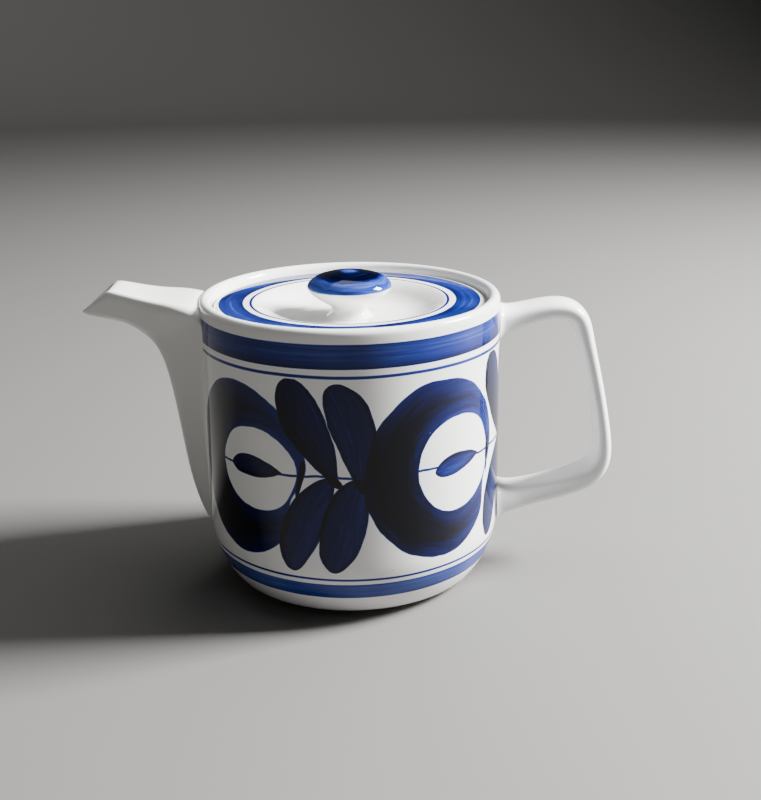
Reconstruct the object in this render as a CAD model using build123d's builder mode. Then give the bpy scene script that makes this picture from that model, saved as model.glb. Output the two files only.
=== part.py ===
from build123d import *

import os
from math import hypot

# Porcelain teapot: a cast pot with a foot ring and a sunk lid seat, a beaked spout and a strap
# handle stuck on with slip, a dished lid with a locating flange, and a mushroom knob.
#
# Frame: millimetres, +Z up, origin at the centre of the foot ring's resting face. The spout points
# along -X and the handle along +X.

# How closely an edge's radius has to agree with a dimension to be picked by it
MATCH = 0.01

# Driving dimensions of the pot
BODY_RADIUS = 60.0
BODY_HEIGHT = 117.5
WALL = 4.0
BASE_CURVE_RADIUS = 36.0
BASE_CURVE_TOP = 26.0
BASE_ROLL_HEIGHT = 2.2
FOOT_OUTER_RADIUS = 46.5
FOOT_INNER_RADIUS = 41.5
FOOT_HEIGHT = 2.5
FOOT_INNER_LEAN = 1.0
FOOT_EDGE_LEAN = 0.5
FOOT_EDGE_HEIGHT = 1.5
FLOOR_TOP = 7.5
INNER_BASE_RADIUS = 18.0

# Lid seat at the top of the pot
SEAT_RADIUS = 54.9
SEAT_HEIGHT = 110.4
MOUTH_RADIUS = 48.0
SHELF_UNDERSIDE = 107.4
SHELF_ROOT = 99.5
RIM_ROUND = 2.45

# Strainer holes behind the spout, in staggered rows
STRAINER_HOLE_RADIUS = 2.2
STRAINER_LOWEST = 54.5
STRAINER_ROW_PITCH = 9.0
STRAINER_ANGLE_PITCH = 11.25
STRAINER_ROWS = (1, 2, 1, 2, 3)

# Lid and its locating flange
LID_RADIUS = 54.2
LID_TOP = 114.4
LID_DISH_RADIUS = 37.0
LID_DISH_FLOOR_RADIUS = 26.0
LID_DISH_FLOOR = 107.8
LID_THICKNESS = 4.0
LID_EDGE_ROUND = 1.4
DISH_FLOOR_ROUND = 9.0
DISH_EDGE_ROUND = 7.0
SHELL_OFFSET = 1.0
FLANGE_OUTER_RADIUS = 47.2
FLANGE_THICKNESS = 3.0
FLANGE_DEPTH = 9.6

# Knob
STEM_RADIUS = 7.2
STEM_FOOT_RADIUS = 10.0
CAP_RADIUS = 17.2
CAP_WIDEST = 120.2
CAP_TOP = 125.8
CAP_ROOT = (8.8, 113.4)
CAP_FLANK = (14.0, 116.5)
CAP_SHOULDER = (12.4, 123.9)

# Spout: each station is a plane fanned across the channel, from its keel point to its back point,
# both in the XZ plane. Half width is at its widest, and the crown is the rise of the closed back.
SPOUT_WALL = 3.2
SPOUT_STATIONS = (
    # keel x, keel z, back x, back z, half width, crown
    (-60.6, 21.0, -51.0, 22.5, 3.6, 0.5),
    (-67.2, 40.0, -49.5, 50.0, 13.2, 0.5),
    (-69.3, 52.0, -49.2, 66.0, 15.8, 0.5),
    (-71.0, 64.0, -49.0, 82.0, 17.8, 0.5),
    (-74.6, 87.0, -52.0, 108.6, 19.6, 0.5),
    (-82.7, 102.1, -63.0, 116.8, 17.0, 0.6),
    (-94.0, 108.8, -78.5, 118.9, 12.3, 0.6),
    (-106.2, 111.0, -92.4, 122.4, 9.9, 0.6),
)
# Section shape, as shares of the half width and of the height from the keel
KEEL_EDGE = (0.34, 0.08)
FLANK = (0.80, 0.45)
WIDEST = (1.0, 0.90)
BACK_EDGE = (0.86, 1.0)
# The spout is solid below this station
CHANNEL_FIRST_STATION = 1
CHANNEL_OVERRUN = 3.0

# Handle: stations along its centre line as x, z, thickness and half width
HANDLE_STATIONS = (
    (53.0, 103.0, 14.6, 10.4),
    (59.5, 104.1, 13.4, 9.8),
    (65.0, 105.7, 10.0, 9.0),
    (72.0, 107.7, 8.5, 8.6),
    (80.0, 109.3, 8.2, 8.5),
    (86.7, 109.0, 8.1, 8.5),
    (91.9, 105.6, 8.0, 8.5),
    (94.9, 98.0, 6.8, 8.5),
    (98.3, 85.0, 6.4, 8.5),
    (101.3, 70.0, 6.4, 8.5),
    (103.6, 56.0, 6.9, 8.5),
    (103.9, 47.0, 7.9, 8.5),
    (101.2, 40.0, 9.2, 8.6),
    (95.0, 35.6, 10.2, 8.8),
    (85.5, 32.5, 10.0, 9.0),
    (76.0, 30.2, 9.9, 9.2),
    (67.5, 28.4, 10.9, 9.6),
    (60.5, 27.0, 13.4, 10.4),
    (53.0, 25.6, 15.6, 11.4),
)

os.makedirs("parts", exist_ok=True)


def base_curve_radius_at(height):
    """Outer radius of the pot's curved base at a height."""
    drop = BASE_CURVE_TOP - height
    return BODY_RADIUS - BASE_CURVE_RADIUS + (BASE_CURVE_RADIUS**2 - drop**2) ** 0.5


def outer_silhouette():
    """Draws the pot's outside, from the foot's rest to the top of the rim, as active lines."""
    roll_radius = base_curve_radius_at(BASE_ROLL_HEIGHT)
    foot = Line((FOOT_OUTER_RADIUS, 0), (FOOT_OUTER_RADIUS + FOOT_EDGE_LEAN, FOOT_EDGE_HEIGHT))
    tuck = Line(foot @ 1, (roll_radius, BASE_ROLL_HEIGHT))
    curve_middle = (BASE_ROLL_HEIGHT + BASE_CURVE_TOP) / 2
    base = ThreePointArc(
        tuck @ 1,
        (base_curve_radius_at(curve_middle), curve_middle),
        (BODY_RADIUS, BASE_CURVE_TOP),
    )
    side = Line(base @ 1, (BODY_RADIUS, BODY_HEIGHT - RIM_ROUND))
    RadiusArc(side @ 1, (BODY_RADIUS - RIM_ROUND, BODY_HEIGHT), -RIM_ROUND)


# The space the pot takes up, hollow and air above included, used to trim what is stuck onto it
with BuildPart() as pot_outline:
    with BuildSketch(Plane.XZ):
        with BuildLine():
            outer_silhouette()
            Polyline(
                (BODY_RADIUS - RIM_ROUND, BODY_HEIGHT),
                (BODY_RADIUS - RIM_ROUND, BODY_HEIGHT + 2 * WALL),
                (0, BODY_HEIGHT + 2 * WALL),
                (0, 0),
                (FOOT_OUTER_RADIUS, 0),
            )
        make_face()
    revolve(axis=Axis.Z)

# Pot body: foot ring, curved base, straight wall, sunk lid seat and strainer holes
with BuildPart() as pot_body:
    with BuildSketch(Plane.XZ):
        with BuildLine():
            outer_silhouette()
            rim_inner_round = BODY_RADIUS - RIM_ROUND - SEAT_RADIUS
            inner_turn = RadiusArc(
                (BODY_RADIUS - RIM_ROUND, BODY_HEIGHT),
                (SEAT_RADIUS, BODY_HEIGHT - rim_inner_round),
                -rim_inner_round,
            )
            inner_radius = BODY_RADIUS - WALL
            Polyline(
                inner_turn @ 1,
                (SEAT_RADIUS, SEAT_HEIGHT),
                (MOUTH_RADIUS, SEAT_HEIGHT),
                (MOUTH_RADIUS, SHELF_UNDERSIDE),
                (inner_radius, SHELF_ROOT),
                (inner_radius, FLOOR_TOP + INNER_BASE_RADIUS),
            )
            inner_base = RadiusArc(
                (inner_radius, FLOOR_TOP + INNER_BASE_RADIUS),
                (inner_radius - INNER_BASE_RADIUS, FLOOR_TOP),
                INNER_BASE_RADIUS,
            )
            Polyline(
                inner_base @ 1,
                (0, FLOOR_TOP),
                (0, FOOT_HEIGHT),
                (FOOT_INNER_RADIUS - FOOT_INNER_LEAN, FOOT_HEIGHT),
                (FOOT_INNER_RADIUS, 0),
                (FOOT_OUTER_RADIUS, 0),
            )
        make_face()
    revolve(axis=Axis.Z)
    for row, count in enumerate(STRAINER_ROWS):
        row_height = STRAINER_LOWEST + row * STRAINER_ROW_PITCH
        for place in range(count):
            turn = 180 + (place - (count - 1) / 2) * STRAINER_ANGLE_PITCH
            outwards = Vector(1, 0, 0).rotate(Axis.Z, turn)
            hole_centre = outwards * BODY_RADIUS + Vector(0, 0, row_height)
            with Locations(Plane(origin=hole_centre, z_dir=outwards)):
                Hole(radius=STRAINER_HOLE_RADIUS, depth=2 * WALL)
pot_body.part.label = "pot_body"


def station_plane(station):
    """The plane of a spout section: its origin is the keel, and its Y axis runs to the back."""
    keel = Vector(station[0], 0, station[1])
    across = Vector(0, 1, 0)
    towards_back = (Vector(station[2], 0, station[3]) - keel).normalized()
    return Plane(origin=keel, x_dir=across, z_dir=across.cross(towards_back))


def draw_station(station, inset):
    """Draws a spout section, taken in by inset on every side, as active lines in its plane."""
    keel_x, keel_z, back_x, back_z, half_width, crown = station
    width = half_width - inset
    height = hypot(back_x - keel_x, back_z - keel_z) - 2 * inset

    def at(share, side):
        return (side * share[0] * width, inset + share[1] * height)

    ThreePointArc(at(KEEL_EDGE, -1), (0, inset), at(KEEL_EDGE, 1))
    ThreePointArc(at(KEEL_EDGE, 1), at(FLANK, 1), at(WIDEST, 1))
    Line(at(WIDEST, 1), at(BACK_EDGE, 1))
    ThreePointArc(at(BACK_EDGE, 1), (0, inset + height + crown), at(BACK_EDGE, -1))
    Line(at(BACK_EDGE, -1), at(WIDEST, -1))
    ThreePointArc(at(WIDEST, -1), at(FLANK, -1), at(KEEL_EDGE, -1))


def loft_spout(stations, inset):
    """Lofts the spout's sections, taken in by inset on every side, into the active part."""
    sections = []
    for station in stations:
        with BuildSketch(station_plane(station), mode=Mode.PRIVATE) as section:
            with BuildLine():
                draw_station(station, inset)
            make_face()
        sections.append(section.sketch)
    loft(sections)


# Spout: a fanned loft, hollowed out to the pouring lip and trimmed to the pot
lip = SPOUT_STATIONS[-1]
before_lip = SPOUT_STATIONS[-2]
overrun = CHANNEL_OVERRUN / hypot(lip[0] - before_lip[0], lip[1] - before_lip[1])
past_lip = tuple(end + overrun * (end - start) for start, end in zip(before_lip, lip))
with BuildPart() as spout_channel:
    loft_spout(SPOUT_STATIONS[CHANNEL_FIRST_STATION:] + (past_lip,), SPOUT_WALL)

with BuildPart() as spout:
    loft_spout(SPOUT_STATIONS, 0.0)
    add(spout_channel.part, mode=Mode.SUBTRACT)
    add(pot_outline.part, mode=Mode.SUBTRACT)
spout.part.label = "spout"

# Handle: elliptical sections along a bent centre line, trimmed to the pot
with BuildPart() as handle:
    rings = []
    for index, (x, z, thickness, half_width) in enumerate(HANDLE_STATIONS):
        before = HANDLE_STATIONS[max(index - 1, 0)]
        after = HANDLE_STATIONS[min(index + 1, len(HANDLE_STATIONS) - 1)]
        along = Vector(after[0] - before[0], 0, after[1] - before[1]).normalized()
        ring_plane = Plane(origin=(x, 0, z), x_dir=(0, 1, 0), z_dir=along)
        with BuildSketch(ring_plane, mode=Mode.PRIVATE) as ring:
            Ellipse(half_width, thickness / 2)
        rings.append(ring.sketch)
    loft(rings)
    add(pot_outline.part, mode=Mode.SUBTRACT)
handle.part.label = "handle"


def lid_circles(radius):
    """The circular edges of that radius on the lid."""
    return lid.edges().filter_by(GeomType.CIRCLE).filter_by(lambda edge: abs(edge.radius - radius) < MATCH)


# Lid: flat border, dished middle and a locating flange that keeps it in when the pot is tipped
with BuildPart() as lid:
    with BuildSketch(Plane.XZ):
        with BuildLine():
            Polyline(
                (0, LID_DISH_FLOOR),
                (LID_DISH_FLOOR_RADIUS, LID_DISH_FLOOR),
                (LID_DISH_RADIUS, LID_TOP),
                (LID_RADIUS, LID_TOP),
                (LID_RADIUS, SEAT_HEIGHT),
                (FLANGE_OUTER_RADIUS, SEAT_HEIGHT),
                (FLANGE_OUTER_RADIUS, SEAT_HEIGHT - FLANGE_DEPTH),
                (FLANGE_OUTER_RADIUS - FLANGE_THICKNESS, SEAT_HEIGHT - FLANGE_DEPTH),
                (FLANGE_OUTER_RADIUS - FLANGE_THICKNESS, SEAT_HEIGHT),
                (LID_DISH_RADIUS + SHELL_OFFSET, SEAT_HEIGHT),
                (LID_DISH_FLOOR_RADIUS + SHELL_OFFSET, LID_DISH_FLOOR - LID_THICKNESS),
                (0, LID_DISH_FLOOR - LID_THICKNESS),
                close=True,
            )
        make_face()
    revolve(axis=Axis.Z)
    fillet(lid_circles(LID_RADIUS).sort_by(Axis.Z)[-1], LID_EDGE_ROUND)
    fillet(lid_circles(LID_DISH_FLOOR_RADIUS), DISH_FLOOR_ROUND)
    fillet(lid_circles(LID_DISH_RADIUS), DISH_EDGE_ROUND)
lid.part.label = "lid"

# Knob: a mushroom on a short flared stem, stuck to the middle of the dish
stem_flare = STEM_FOOT_RADIUS - STEM_RADIUS
flare_top = (STEM_RADIUS, LID_DISH_FLOOR + stem_flare)
cap_edge = (CAP_RADIUS, CAP_WIDEST)
with BuildPart() as lid_knob:
    with BuildSketch(Plane.XZ):
        with BuildLine():
            RadiusArc((STEM_FOOT_RADIUS, LID_DISH_FLOOR), flare_top, stem_flare)
            Spline(flare_top, CAP_ROOT, CAP_FLANK, cap_edge, tangents=[(0, 1), (0, 1)])
            Spline(cap_edge, CAP_SHOULDER, (0, CAP_TOP), tangents=[(0, 1), (-1, 0)])
            Polyline((0, CAP_TOP), (0, LID_DISH_FLOOR), (STEM_FOOT_RADIUS, LID_DISH_FLOOR))
        make_face()
    revolve(axis=Axis.Z)
lid_knob.part.label = "lid_knob"

for piece in (pot_body, spout, handle, lid, lid_knob):
    export_step(piece.part, f"parts/{piece.part.label}.step")
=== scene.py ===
"""Looks of a porcelain teapot: a cast pot with a sunk lid seat, a beaked spout, a strap handle, and a
dished lid with a mushroom knob, all white under a gloss glaze with cobalt brush painting beneath it.

The frame is the CAD model's: metres, +Z up along the pot's axis, origin at the centre of the foot, the
spout towards -X and the handle towards +X. Sizes in the classes are in millimetres.
"""

import logging
from collections.abc import Callable, Sequence
from dataclasses import dataclass
from enum import Enum
from math import asin, atan2, cos, hypot, log, pi, radians, sin, sqrt, tau

import bmesh
import bpy
from mathutils import Matrix, Vector
from mathutils.geometry import interpolate_bezier

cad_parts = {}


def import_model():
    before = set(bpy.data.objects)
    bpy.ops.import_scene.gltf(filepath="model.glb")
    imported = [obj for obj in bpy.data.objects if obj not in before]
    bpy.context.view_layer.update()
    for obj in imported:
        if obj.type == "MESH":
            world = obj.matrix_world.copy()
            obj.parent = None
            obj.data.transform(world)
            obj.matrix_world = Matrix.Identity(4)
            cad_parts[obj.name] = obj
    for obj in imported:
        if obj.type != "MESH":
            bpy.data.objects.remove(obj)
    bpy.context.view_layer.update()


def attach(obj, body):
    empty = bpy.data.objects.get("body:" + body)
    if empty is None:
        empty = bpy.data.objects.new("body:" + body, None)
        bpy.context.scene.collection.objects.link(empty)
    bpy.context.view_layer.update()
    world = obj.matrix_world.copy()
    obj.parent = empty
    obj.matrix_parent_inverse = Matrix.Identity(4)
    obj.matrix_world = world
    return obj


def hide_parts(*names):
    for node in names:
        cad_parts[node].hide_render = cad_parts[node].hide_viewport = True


MM = 0.001
NOISE_MIDDLE = 0.5
# Where a brush mark's edge lies inside its outline and how soft it is, in millimetres
EDGE_PLACE = 0.1
EDGE_SOFT = 0.55
Pair = tuple[float, float]
Colour = tuple[float, float, float, float]

journal = logging.getLogger("teapot")


class Slot(Enum):
    """The finishes that the part's record names."""

    POT = "painted_porcelain"
    PLAIN = "white_porcelain"
    LID = "painted_lid"


# ---------------------------------------------------------------------------------------------------
# Shader maths
# ---------------------------------------------------------------------------------------------------


class Signal:
    """A node's output that takes part in Python arithmetic: each operator adds one Math node."""

    def __init__(self, sheet: "NodeSheet", socket: bpy.types.NodeSocket) -> None:
        """Wraps a socket.

        Args:
            sheet: The node sheet that the socket is on.
            socket: The output to wrap.
        """
        self.sheet = sheet
        self.socket = socket

    def __add__(self, other: "Signal | float") -> "Signal":
        """Sum."""
        return self.sheet.maths("ADD", self, other)

    def __radd__(self, other: float) -> "Signal":
        """Sum with a number on the left."""
        return self.sheet.maths("ADD", other, self)

    def __sub__(self, other: "Signal | float") -> "Signal":
        """Difference."""
        return self.sheet.maths("SUBTRACT", self, other)

    def __rsub__(self, other: float) -> "Signal":
        """Difference from a number on the left."""
        return self.sheet.maths("SUBTRACT", other, self)

    def __mul__(self, other: "Signal | float") -> "Signal":
        """Product."""
        return self.sheet.maths("MULTIPLY", self, other)

    def __rmul__(self, other: float) -> "Signal":
        """Product with a number on the left."""
        return self.sheet.maths("MULTIPLY", other, self)

    def __truediv__(self, other: "Signal | float") -> "Signal":
        """Quotient."""
        return self.sheet.maths("DIVIDE", self, other)

    def __pow__(self, other: float) -> "Signal":
        """Power."""
        return self.sheet.maths("POWER", self, other)

    def __gt__(self, other: float) -> "Signal":
        """1 where this is greater, otherwise 0."""
        return self.sheet.maths("GREATER_THAN", self, other)

    def __abs__(self) -> "Signal":
        """Size without sign."""
        return self.sheet.maths("ABSOLUTE", self)

    def above(self, edge: float, soft: float) -> "Signal":
        """Rises smoothly from 0 to 1 as this passes edge.

        Args:
            edge: The value in the middle of the rise.
            soft: The width of the rise.

        Returns:
            The risen signal.
        """
        settings = {"interpolation_type": "SMOOTHSTEP"}
        sockets = {"Value": self, "From Min": edge - soft / 2, "From Max": edge + soft / 2}
        return self.sheet.signal("ShaderNodeMapRange", settings, sockets, "Result")

    def between(self, low: float, high: float, soft: float) -> "Signal":
        """1 from low to high with soft edges, otherwise 0."""
        return self.above(low, soft) * (1 - self.above(high, soft))

    def held(self) -> "Signal":
        """Kept from 0 to 1."""
        return self.sheet.maths("MINIMUM", self.sheet.maths("MAXIMUM", self, 0.0), 1.0)

    def most(self, other: "Signal | float") -> "Signal":
        """The greater of two."""
        return self.sheet.maths("MAXIMUM", self, other)

    def least(self, other: "Signal | float") -> "Signal":
        """The lesser of two."""
        return self.sheet.maths("MINIMUM", self, other)


class NodeSheet:
    """A material's node tree, with one method that makes any node."""

    def __init__(self, name: str) -> None:
        """Makes an empty material.

        Args:
            name: The material's name.
        """
        self.material = bpy.data.materials.new(name)
        self.material.use_nodes = True
        self.tree = self.material.node_tree
        self.tree.nodes.clear()

    def node(self, kind: str, settings: dict | None = None, sockets: dict | None = None) -> bpy.types.Node:
        """Makes a node.

        Args:
            kind: The node's type name.
            settings: Attributes to set first. A list under "stops" fills a colour ramp.
            sockets: Values or signals for its inputs, by name or by index.

        Returns:
            The new node.
        """
        made = self.tree.nodes.new(kind)
        for key, value in (settings or {}).items():
            if key == "stops":
                self._fill_ramp(made.color_ramp, value)
            else:
                setattr(made, key, value)
        for key, value in (sockets or {}).items():
            if isinstance(value, Signal):
                self.tree.links.new(value.socket, made.inputs[key])
            else:
                made.inputs[key].default_value = value
        return made

    @staticmethod
    def _fill_ramp(ramp: bpy.types.ColorRamp, stops: Sequence[tuple[float, Colour]]) -> None:
        """Gives a colour ramp its stops.

        Args:
            ramp: The ramp, which has two stops.
            stops: Places and colours, from left to right.
        """
        ramp.elements[0].position, ramp.elements[0].color = stops[0]
        ramp.elements[1].position, ramp.elements[1].color = stops[-1]
        for place, colour in stops[1:-1]:
            ramp.elements.new(place).color = colour

    def signal(self, kind: str, settings: dict, sockets: dict, output: str | int = 0) -> Signal:
        """Makes a node and wraps one of its outputs."""
        return Signal(self, self.node(kind, settings, sockets).outputs[output])

    def maths(self, operation: str, *values: "Signal | float") -> Signal:
        """Makes a Math node of that operation on the values."""
        return self.signal("ShaderNodeMath", {"operation": operation}, dict(enumerate(values)))

    def vector(self, x: "Signal | float", y: "Signal | float", z: "Signal | float" = 0.0) -> Signal:
        """Joins three numbers into a vector."""
        return self.signal("ShaderNodeCombineXYZ", {}, {"X": x, "Y": y, "Z": z})

    def noise(self, place: Signal, scale: float, detail: float = 2.0, roughness: float = 0.5) -> Signal:
        """Noise about a half, read at a place.

        Args:
            place: The vector to read at.
            scale: Lumps to one unit of the vector.
            detail: Finer layers that are added.
            roughness: How strong each finer layer is.

        Returns:
            The noise, from about 0.2 to 0.8.
        """
        sockets = {"Vector": place, "Scale": scale, "Detail": detail, "Roughness": roughness}
        return self.signal("ShaderNodeTexNoise", {}, sockets, "Fac")

    def sway(self, place: Signal, scale: float, detail: float = 2.0, roughness: float = 0.5) -> Signal:
        """Noise about zero, read as noise is."""
        return self.noise(place, scale, detail, roughness) - NOISE_MIDDLE

    def ramp(self, factor: Signal, stops: Sequence[tuple[float, Colour]]) -> Signal:
        """A colour ramp with the stops."""
        return self.signal("ShaderNodeValToRGB", {"stops": stops}, {"Fac": factor}, "Color")

    def mix(self, factor: Signal, first: "Signal | Colour", second: "Signal | Colour") -> Signal:
        """Mixes two colours.

        Args:
            factor: 0 gives the first and 1 the second.
            first: A colour.
            second: Another colour.

        Returns:
            The mixed colour.
        """
        made = self.node("ShaderNodeMix", {"data_type": "RGBA"})
        places = {s.identifier: s for s in made.inputs}
        for key, value in (("Factor_Float", factor), ("A_Color", first), ("B_Color", second)):
            if isinstance(value, Signal):
                self.tree.links.new(value.socket, places[key])
            else:
                places[key].default_value = value
        return Signal(self, next(s for s in made.outputs if s.identifier == "Result_Color"))


class Surface:
    """Where a point of the piece is, in millimetres and round the pot's axis."""

    def __init__(self, sheet: NodeSheet) -> None:
        """Reads the piece's own coordinates.

        Args:
            sheet: The node sheet to read them on.
        """
        self.sheet = sheet
        self.place = sheet.signal("ShaderNodeTexCoord", {}, {}, "Object")
        parts = sheet.node("ShaderNodeSeparateXYZ", {}, {"Vector": self.place})
        across, along, up = (Signal(sheet, parts.outputs[axis]) for axis in "XYZ")
        self.height = up * (1 / MM)
        self.radius = sheet.maths("SQRT", across * across + along * along) * (1 / MM)
        self.turn = sheet.maths("ARCTAN2", along, across)

    def way(self, seed: float) -> Signal:
        """The direction from the pot's axis as a vector, with a seed as its third part."""
        return self.sheet.vector(
            self.sheet.maths("COSINE", self.turn), self.sheet.maths("SINE", self.turn), seed
        )


# ---------------------------------------------------------------------------------------------------
# Cobalt painting
# ---------------------------------------------------------------------------------------------------


@dataclass(frozen=True)
class BrushStroke:
    """One pressed stroke of a round brush: pointed at its tip and full towards its end.

    Places are millimetres along the wall and up it, from the middle of its group.
    """

    tip: Pair
    end: Pair
    half_width: float
    widest: float = 0.62
    blunt: float = 0.5
    bend: float = 0.0
    load: float = 0.85
    lean: float = 0.0
    end_soft: float = 0.3
    bristle_pitch: float = 1.1
    bristle_run: float = 2.6
    bristle_depth: float = 0.5
    pool_width: float = 2.4
    pool_depth: float = 0.20

    def lay(self, sheet: NodeSheet, along: Signal, up: Signal, seed: float) -> Signal:
        """Paint laid by the stroke.

        Args:
            sheet: The node sheet to draw on.
            along: Millimetres along the wall from the group's middle.
            up: Millimetres up the wall from the group's middle.
            seed: Where in the noise its bristle marks are read.

        Returns:
            How thick the paint is, from 0 to 1.
        """
        run = Vector((self.end[0] - self.tip[0], self.end[1] - self.tip[1]))
        length, way = run.length, run.normalized()
        from_tip_along, from_tip_up = along - self.tip[0], up - self.tip[1]
        share = (from_tip_along * (way.x / length) + from_tip_up * (way.y / length)).held()
        within_ends = (from_tip_along * way.x + from_tip_up * way.y).between(0.0, length, self.end_soft)
        bow = share * (1 - share) * (4 * self.bend)
        aside = from_tip_up * way.x - from_tip_along * way.y - bow
        skewed = share ** (log(0.5) / log(self.widest))
        half = (skewed * (1 - skewed) * 4) ** self.blunt * self.half_width
        inside = half - abs(aside)
        brushed = sheet.vector(aside * self.bristle_pitch, share * self.bristle_run, seed)
        bristles = sheet.sway(brushed, 1.0, 3.0, 0.65) * self.bristle_depth
        pooled = (1 - inside.above(self.pool_width / 2, self.pool_width)) * self.pool_depth
        tilt = aside * (self.lean / self.half_width)
        thickness = self.load + bristles + pooled + tilt
        return inside.above(EDGE_PLACE, EDGE_SOFT) * within_ends * thickness.held()


@dataclass(frozen=True)
class BrushRing:
    """A broad ring of two strokes round an open middle, thickest on the side away from its opening.

    Places are millimetres from the middle of its group. The nick is the gap where one stroke of the ring
    ends and the other starts.
    """

    middle: Pair
    reach: Pair
    hole_middle: Pair
    hole_reach: Pair
    nick: float = 0.17
    nick_turn: float = -20.0
    nick_sharpness: float = 22.0
    load: float = 0.76
    bristle_pitch: float = 0.55
    bristle_run: float = 1.3
    bristle_depth: float = 0.44
    bristle_seed: float = 7.0
    heavy_turn: float = 200.0
    heavy_depth: float = 0.14
    core_inset: float = 4.5
    core_soft: float = 8.0
    core_depth: float = 0.20

    def lay(self, sheet: NodeSheet, along: Signal, up: Signal) -> Signal:
        """Paint laid by the ring.

        Args:
            sheet: The node sheet to draw on.
            along: Millimetres along the wall from the group's middle.
            up: Millimetres up the wall from the group's middle.

        Returns:
            How thick the paint is, from 0 to 1.
        """
        out_along = (along - self.middle[0]) / self.reach[0]
        out_up = (up - self.middle[1]) / self.reach[1]
        reach = sheet.maths("SQRT", out_along * out_along + out_up * out_up)
        turn = sheet.maths("ARCTAN2", out_up, out_along)
        nick_way = sheet.maths("COSINE", turn - radians(self.nick_turn))
        nick = nick_way.most(0.0) ** self.nick_sharpness * self.nick
        from_edge = (1 - nick - reach) * self.reach[0]
        hole_along = (along - self.hole_middle[0]) / self.hole_reach[0]
        hole_up = (up - self.hole_middle[1]) / self.hole_reach[1]
        hole = sheet.maths("SQRT", hole_along * hole_along + hole_up * hole_up)
        from_hole = (hole - 1) * self.hole_reach[0]
        inside = from_edge.least(from_hole)
        brushed = sheet.vector(from_hole * self.bristle_pitch, turn * self.bristle_run, self.bristle_seed)
        bristles = sheet.sway(brushed, 1.0, 3.0, 0.6) * self.bristle_depth
        heavy_way = sheet.maths("COSINE", turn - radians(self.heavy_turn))
        core = inside.above(self.core_inset, self.core_soft) * self.core_depth
        thickness = self.load + heavy_way * self.heavy_depth + core + bristles
        return inside.above(EDGE_PLACE, EDGE_SOFT) * thickness.held()


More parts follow.
